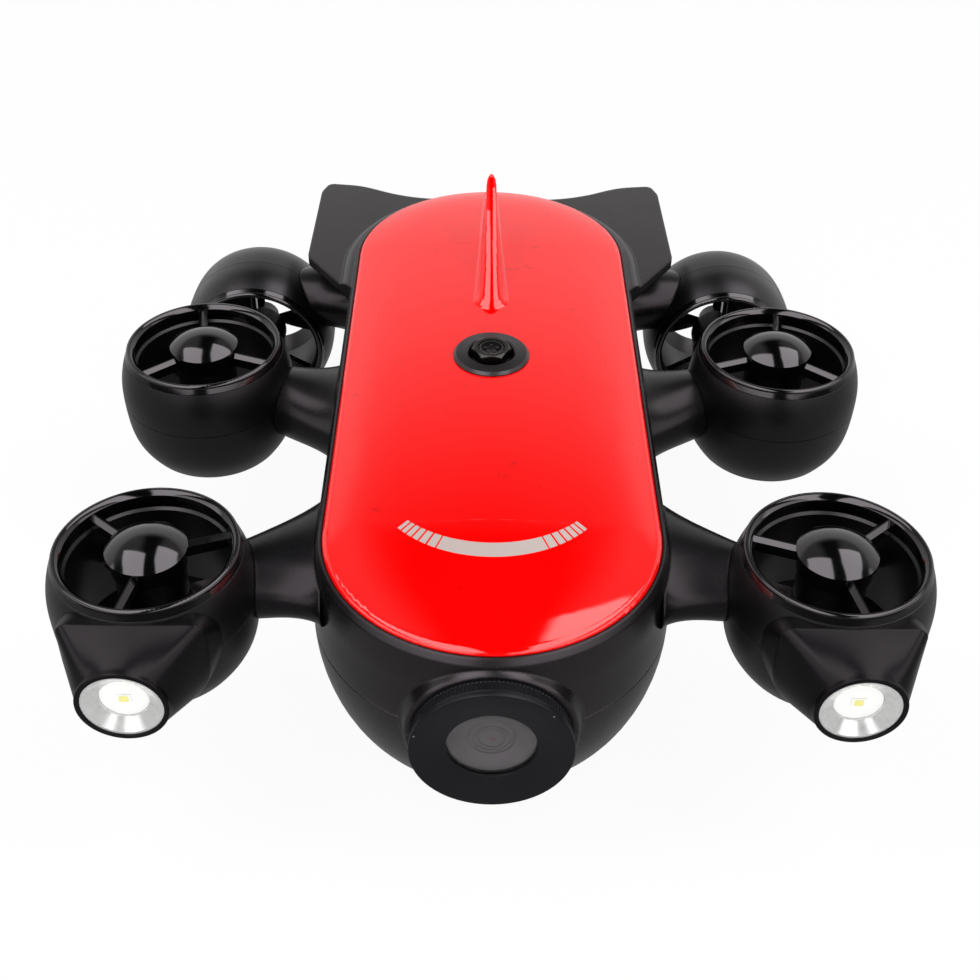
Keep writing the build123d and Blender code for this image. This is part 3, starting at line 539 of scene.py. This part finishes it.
def add_phosphor():
    low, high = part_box("lamp_boards")
    z = (low[2] + high[2]) / 2
    board_r = (high[2] - low[2]) / 2
    r = PHOSPHOR_CORNER
    for name, x in (("left", low[0] + board_r), ("right", high[0] - board_r)):
        verts = []
        for inset, d in in_metres(PHOSPHOR_LAYERS):
            half_w, half_h = PHOSPHOR_W / 2 - r - inset, PHOSPHOR_H / 2 - r - inset
            for sx, sz, start in ((1, 1, 0), (-1, 1, 90), (-1, -1, 180), (1, -1, 270)):
                for k in range(PHOSPHOR_STEPS):
                    a = math.radians(start + 90 * k / (PHOSPHOR_STEPS - 1))
                    verts.append(around((x + sx * half_w, low[1], z + sz * half_h), r, a, d))
        faces = plug_faces(len(PHOSPHOR_LAYERS), 4 * PHOSPHOR_STEPS)
        add_piece(f"lamp_phosphor_{name}", verts, faces, "phosphor", "vehicle")


# Lamp housings: flat-topped arches on the barrels that turn into the round lamp faces
# An arch: distance in front of the barrel's axis, half width, height and corner radius
ARCH_ROOT = (22.0 * MM, 32.0 * MM, 50.9 * MM, 18.0 * MM)
ARCH_CREASE = (37.6 * MM, 27.6 * MM, 47.4 * MM, 4.5 * MM)
# Points along the top, corner, side, belly, side and corner, and where those begin on the lamp's circle
ARCH_STEPS = (24, 8, 8, 40, 8, 8)
ARCH_TURNS = (128.0, 52.0, 30.0, -5.0, -175.0, -210.0, -232.0)
# Rings on the way from the root to the crease and from the crease to the lamp's lip, as shares of it
TOP_SHARES, TURN_SHARES = (0.5, 0.96), (0.03, 0.1, 0.2, 0.3, 0.4, 0.5, 0.6, 0.7, 0.8, 0.9)
LAMP_LIP_W, LAMP_LIP_L, LAMP_EDGE, LAMP_FIT = 2.1 * MM, 2.0 * MM, 0.4 * MM, 0.1 * MM
# Seat on the barrel: its rows and columns, how deep it sinks, and its ends within and past the barrel's
SEAT_ROWS, SEAT_COLUMNS, SEAT_SUNK, SEAT_EDGE, SEAT_PAST = 30, 96, 0.3 * MM, 0.3 * MM, 5.0 * MM


def arch_outline(half_w, height, corner):
    """Outline about the middle of the arch's top."""
    flat, low = half_w - corner, half_w - height
    quarter = math.pi / 2
    runs = (lambda u: (flat * (2 * u - 1), 0.0),
            lambda u: (flat + corner * math.sin(quarter * u), corner * (math.cos(quarter * u) - 1)),
            lambda u: (half_w, -corner + (low + corner) * u),
            lambda u: (half_w * math.cos(math.pi * u), low - half_w * math.sin(math.pi * u)),
            lambda u: (-half_w, low - (low + corner) * u),
            lambda u: (-flat - corner * math.cos(quarter * u), corner * (math.sin(quarter * u) - 1)))
    return [run(k / steps) for run, steps in zip(runs, ARCH_STEPS) for k in range(steps)]


def lamp_circle(r):
    """Points on a circle that match an arch's, one by one."""
    turns = [a + (b - a) * k / steps for a, b, steps in zip(ARCH_TURNS, ARCH_TURNS[1:], ARCH_STEPS)
             for k in range(steps)]
    return [(r * math.cos(math.radians(turn)), r * math.sin(math.radians(turn))) for turn in turns]


def ring_at(outline, x, y, z):
    return [Vector((x + u, y, z + v)) for u, v in outline]


def between(ring_a, ring_b, share):
    return [a.lerp(b, share) for a, b in zip(ring_a, ring_b)]


def barrel_profile(axis_x, axis_y, face):
    """Radius and height up the outside of a front barrel."""
    scene = bpy.context.evaluated_depsgraph_get()
    shell, nozzle = nodes["duct_shell_front_right"], nodes["duct_nozzle_front_right"]
    trees = [BVHTree.FromObject(part, scene) for part in (shell, nozzle)]
    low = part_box("duct_nozzle_front_right")[0][2] + SEAT_EDGE
    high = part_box("duct_shell_front_right")[1][2] - SEAT_EDGE
    profile = []
    for k in range(SEAT_ROWS + 1):
        z = low + (high - low) * k / SEAT_ROWS
        hits = [tree.ray_cast(Vector((axis_x, face, z)), Vector((0, 1, 0)))[0] for tree in trees]
        profile.append((max(axis_y - hit.y for hit in hits if hit) - SEAT_SUNK, z))
    return [(profile[0][0], low - SEAT_PAST), *profile, (profile[-1][0], high + SEAT_PAST)]


def both_sides(rings):
    """Points and faces of a closed tube of rings and of its mirror image."""
    verts, faces = [], []
    for side in (1, -1):
        faces += plug_faces(len(rings), len(rings[0]), start=len(verts))
        for ring in rings:
            verts += [(side * x, y, z) for x, y, z in ring]
    return verts, faces


def housing_rings():
    """Rings of the right housing, from inside the barrel to the bottom of the lamp's pocket."""
    low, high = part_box("lamp_housings")
    top, face = high[2], low[1]
    inner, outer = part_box("lamp_reflectors")
    lamp_r, lamp_z = (outer[2] - inner[2]) / 2, (outer[2] + inner[2]) / 2
    lamp_x = outer[0] - lamp_r
    axis_x, axis_y, _ = centre("guard_ring_front_right")
    root = ring_at(arch_outline(*ARCH_ROOT[1:]), axis_x, axis_y - ARCH_ROOT[0], top)
    crease = ring_at(arch_outline(*ARCH_CREASE[1:]), axis_x, axis_y - ARCH_CREASE[0], top)
    lip_r, wall_r = lamp_r + LAMP_LIP_W, lamp_r + LAMP_FIT
    front = [(lip_r, face + LAMP_LIP_L), *eased(lip_r, face, LAMP_EDGE), (wall_r + LAMP_FIT, face),
             (wall_r, face + LAMP_FIT), (wall_r, outer[1])]
    circles = [ring_at(lamp_circle(r), lamp_x, y, lamp_z) for r, y in front]
    rings = [root] + [between(root, crease, share) for share in TOP_SHARES] + [crease]
    return rings + [between(crease, circles[0], share) for share in TURN_SHARES] + circles


def cut(piece, verts, faces):
    """Take a closed shape out of a piece."""
    cutter = add_object("cutter", closed_mesh("cutter", verts, faces))
    seat = piece.modifiers.new("seat", "BOOLEAN")
    seat.operation, seat.solver, seat.object = "DIFFERENCE", "EXACT", cutter
    bpy.context.view_layer.update()
    seated = piece.evaluated_get(bpy.context.evaluated_depsgraph_get())
    piece.data = bpy.data.meshes.new_from_object(seated)
    piece.modifiers.clear()
    bpy.data.objects.remove(cutter)


def add_lamp_housings():
    verts, faces = both_sides(housing_rings())
    housings = add_piece("lamp_housings_moulded", verts, faces, "housing", "vehicle")
    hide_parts("lamp_housings")
    x, y, _ = centre("guard_ring_front_right")
    profile = barrel_profile(x, y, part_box("lamp_housings")[0][1])
    barrels = [[around((x, y, 0.0), r, a, z, "z") for a in whole_turn(SEAT_COLUMNS)] for r, z in profile]
    cut(housings, *both_sides(barrels))
    smooth(housings, HARD)


# Camera, as fitted to the photograph: place in metres, turns in degrees, lens and sensor in millimetres
CAMERA_AT = (-0.00614, -0.53135, 0.47219)
CAMERA_PITCH, CAMERA_YAW, CAMERA_ROLL = 39.66, 0.69, 0.84
CAMERA_LENS, CAMERA_SENSOR, CAMERA_NEAR = 50.99, 36.0, 0.01
# Lamps of the studio: place, point that they face, size and power
LAMPS = {
    "softbox_left": ((-0.75, -0.25, 1.25), (0.0, -0.05, 0.05), (0.45, 0.75), 6.0),
    "softbox_right": ((0.75, -0.25, 1.25), (0.0, -0.05, 0.05), (0.45, 0.75), 6.0),
    "fill_front": ((0.0, -1.5, 0.35), (0.0, 0.0, 0.07), (1.0, 0.4), 7.5),
}


def add_camera():
    pitch, yaw, roll = math.radians(CAMERA_PITCH), math.radians(CAMERA_YAW), math.radians(CAMERA_ROLL)
    forward = Vector((math.sin(yaw) * math.cos(pitch), math.cos(yaw) * math.cos(pitch), -math.sin(pitch)))
    level_right = Vector((math.cos(yaw), -math.sin(yaw), 0.0))
    level_up = level_right.cross(forward)
    right = level_right * math.cos(roll) + level_up * math.sin(roll)
    up = level_up * math.cos(roll) - level_right * math.sin(roll)
    data = bpy.data.cameras.new("camera")
    data.sensor_fit = "HORIZONTAL"
    data.sensor_width = CAMERA_SENSOR
    data.lens = CAMERA_LENS
    data.clip_start = CAMERA_NEAR
    obj = add_object("camera", data)
    turn = Matrix((right, up, -forward)).transposed().to_4x4()
    obj.matrix_world = Matrix.Translation(CAMERA_AT) @ turn
    bpy.context.scene.camera = obj


def add_area(name, at, towards, size, power):
    """Rectangular lamp that no reflection shows."""
    data = bpy.data.lights.new(name, "AREA")
    data.shape = "RECTANGLE"
    data.size, data.size_y = size
    data.energy = power
    obj = add_object(name, data)
    aim = (Vector(towards) - Vector(at)).to_track_quat("-Z", "Y")
    obj.matrix_world = Matrix.Translation(at) @ aim.to_matrix().to_4x4()
    obj.visible_glossy = False


# Floor: half its width in metres, its colour under the lamps, and the share of that which shows its shadow
FLOOR_HALF, FLOOR_COLOUR, FLOOR_SHADOW = 3.0, (0.95, 0.95, 0.95), 0.06
# How much its reflections dim from the front of the studio to the backdrop, over Y in metres
FLOOR_DIM = (0.0, 0.7, 0.66, 0.0)


def floor_material():
    """White to the camera, in reflections and through glass, with part of the lamps' own light as shadow."""
    mat = bpy.data.materials.new("floor_white")
    mat.use_nodes = True
    tree = mat.node_tree
    tree.nodes.clear()
    out = tree.nodes.new("ShaderNodeOutputMaterial")
    path = tree.nodes.new("ShaderNodeLightPath").outputs
    seen = fold(tree, "MAXIMUM", path["Is Camera Ray"], path["Is Transmission Ray"], path["Is Glossy Ray"])
    _, y, _ = split(tree, place(tree))
    darker = calc(tree, "MULTIPLY", span(tree, y, *FLOOR_DIM), path["Is Glossy Ray"])
    white = tree.nodes.new("ShaderNodeEmission")
    white.inputs["Color"].default_value = (*WHITE, 1.0)
    tree.links.new(span(tree, darker, 0.0, 1.0, 1.0, 0.0, "LINEAR"), white.inputs["Strength"])
    pale = tree.nodes.new("ShaderNodeBsdfDiffuse")
    pale.inputs["Color"].default_value = (*FLOOR_COLOUR, 1.0)
    share = calc(tree, "MULTIPLY", seen, 1.0 - FLOOR_SHADOW)
    tree.links.new(mix_shaders(tree, share, pale.outputs[0], white.outputs[0]), out.inputs["Surface"])
    return mat


def add_floor():
    s = FLOOR_HALF
    mesh = bpy.data.meshes.new("floor")
    mesh.from_pydata([(-s, -s, 0), (s, -s, 0), (s, s, 0), (-s, s, 0)], [], [(0, 1, 2, 3)])
    mesh.materials.append(floor_material())
    floor = add_object("floor", mesh)


# Room as reflections show it, in steps over a part of a direction's length: from, to and the values there
BACKDROP_Z, WINGS_X, ROOM_Y = (0.46, 0.70, 1.3, 0.0), (0.10, 0.34, 0.0, 0.55), (-0.15, 0.30, 0.06, 1.0)
# Overhead softboxes there: left, right, front and rear edge over a height of 1, the rear edge's slant
# outwards and the inner edge's lean to the right towards the front
SOFTBOXES = ((-0.90, -0.10, -1.6, 0.12, -0.45, 0.0), (0.19, 0.98, -1.6, 0.50, 0.2, 0.26))
SOFTBOX_EDGE, SOFTBOX_STRENGTH, SOFTBOX_LOWEST_Z = 0.03, 6.2, 0.04
# Their lower part in front, in such steps too
CURTAIN_X, CURTAIN_Y = (0.10, 0.22, 0.0, 1.0), (0.0, 0.25, 1.0, 0.0)
CURTAIN_FOOT_Z, CURTAIN_TOP_Z = (0.08, 0.16, 0.0, 1.0), (0.50, 0.58, 3.6, 0.0)
# Shade of the room's light, and its strength on surfaces that don't mirror it
ROOM_SHADE, ROOM_LIGHT = 0.8, 0.72


def background(tree, strength, shade=ROOM_SHADE):
    node = tree.nodes.new("ShaderNodeBackground")
    node.inputs["Color"].default_value = (shade, shade, shade, 1.0)
    feed(tree, node.inputs["Strength"], strength)
    return node.outputs[0]


def softbox_edge(tree, value, at, before, after):
    return span(tree, value, at - SOFTBOX_EDGE, at + SOFTBOX_EDGE, before, after)


def softbox(tree, across, along, left, right, front, rear, slant, lean):
    """Bright pane overhead."""
    slanted = calc(tree, "ADD", along, span(tree, across, -1.0, 1.0, slant, -slant, "LINEAR"))
    leaning = calc(tree, "ADD", across, span(tree, along, -1.0, 0.0, -lean, 0.0, "LINEAR"))
    pane = fold(tree, "MULTIPLY",
                softbox_edge(tree, leaning, left, 0.0, 1.0), softbox_edge(tree, across, right, 1.0, 0.0),
                softbox_edge(tree, along, front, 0.0, 1.0), softbox_edge(tree, slanted, rear, 1.0, 0.0))
    return span(tree, pane, 0.0, 1.0, 0.0, SOFTBOX_STRENGTH, "LINEAR")


def reflected_room(tree):
    """Strength of the room in reflections: backdrop and side walls low down, and the softboxes overhead."""
    x, y, z = split(tree, tree.nodes.new("ShaderNodeTexCoord").outputs["Generated"])
    aside = calc(tree, "ABSOLUTE", x)
    walls = calc(tree, "MAXIMUM", span(tree, z, *BACKDROP_Z), span(tree, aside, *WINGS_X))
    walls = calc(tree, "MULTIPLY", walls, span(tree, y, *ROOM_Y))
    height = span(tree, z, SOFTBOX_LOWEST_Z, 1.0, SOFTBOX_LOWEST_Z, 1.0, "LINEAR")
    across, along = calc(tree, "DIVIDE", x, height), calc(tree, "DIVIDE", y, height)
    boxes = [softbox(tree, across, along, *edges) for edges in SOFTBOXES]
    curtain = fold(tree, "MULTIPLY", span(tree, aside, *CURTAIN_X), span(tree, y, *CURTAIN_Y),
                   span(tree, z, *CURTAIN_FOOT_Z), span(tree, z, *CURTAIN_TOP_Z))
    return fold(tree, "MAXIMUM", walls, curtain, *boxes)


def add_world():
    """Plain white to the camera and through glass, the room in reflections, and an even light elsewhere."""
    world = bpy.data.worlds.new("studio")
    bpy.context.scene.world = world
    world.use_nodes = True
    tree = world.node_tree
    tree.nodes.clear()
    out = tree.nodes.new("ShaderNodeOutputWorld")
    path = tree.nodes.new("ShaderNodeLightPath").outputs
    room = background(tree, reflected_room(tree))
    lit = mix_shaders(tree, path["Is Glossy Ray"], background(tree, ROOM_LIGHT), room)
    seen = calc(tree, "MAXIMUM", path["Is Camera Ray"], path["Is Transmission Ray"])
    tree.links.new(mix_shaders(tree, seen, lit, background(tree, 1.0, 1.0)), out.inputs["Surface"])


dress_nodes()
add_print()
for tag in [f"{row}_{side}" for row in ("front", "mid", "rear") for side in ("left", "right")]:
    add_guard_lip(tag)
add_ribbed_ring()
add_bezel()
add_lens()
add_phosphor()
add_lamp_housings()

add_camera()
add_world()
add_floor()
for name, settings in LAMPS.items():
    add_area(name, *settings)

bpy.context.scene.view_settings.view_transform = "Standard"
